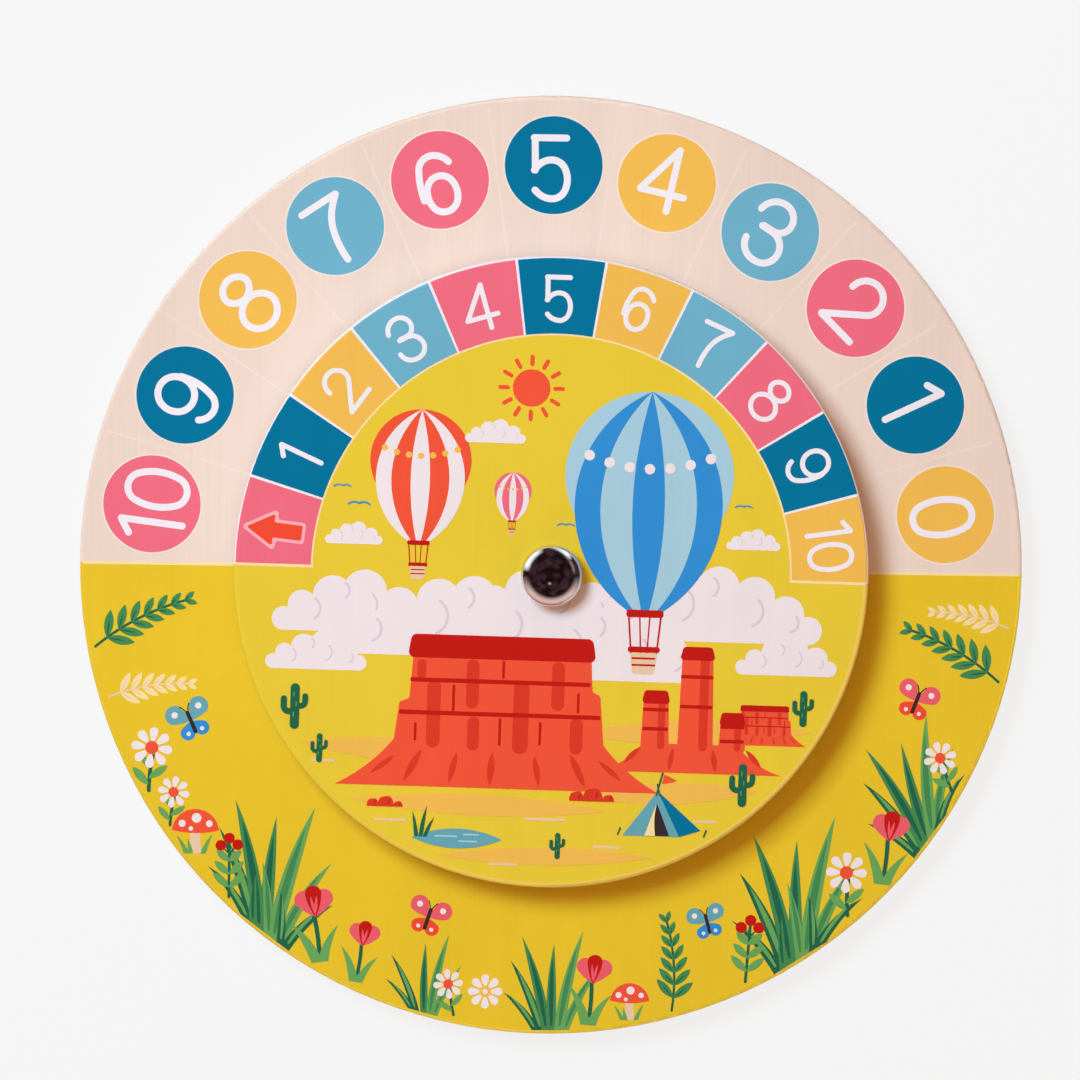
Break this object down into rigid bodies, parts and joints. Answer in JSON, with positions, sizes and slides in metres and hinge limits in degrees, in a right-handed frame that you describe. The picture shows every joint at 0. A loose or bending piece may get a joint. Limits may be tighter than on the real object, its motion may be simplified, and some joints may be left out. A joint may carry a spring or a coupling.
{
  "type": "number bond wheel",
  "caption": "Round wooden counting wheel: a board with a ring of number discs and a smaller dial of numbered sectors that turns by hand on a bolted pivot with a chrome dome nut.",
  "frame": {"origin": "on the pivot axis at the back face of the board", "axes": "+Z along the pivot, out of the printed face; +Y towards the middle number of the ring on the board; +X towards its first number"},
  "size_m": [0.22, 0.22, 0.0302],
  "materials": {
    "board_wood": "matt lacquer, printed in colour",
    "dial_wood": "matt lacquer, printed in colour",
    "zinc_steel": "zinc plated",
    "nylon": "moulded, natural white",
    "bushing_brass": "turned",
    "dome_chrome": "polished chrome plate"
  },
  "bodies": {
    "base": {"base_board": "board_wood", "back_washer": "zinc_steel", "pivot_bolt": "zinc_steel", "nut_washer": "zinc_steel", "lock_nut": "zinc_steel", "thrust_washer": "nylon", "cap_washer": "nylon", "dome_nut": "dome_chrome"},
    "dial": {"dial_disc": "dial_wood", "dial_bushing": "bushing_brass"}
  },
  "joints": [
    {"name": "dial_spin", "type": "hinge", "parent": "base", "child": "dial", "pos_m": [0, 0, 0.017], "axis": [0, 0, 1], "continuous": true}
  ]
}
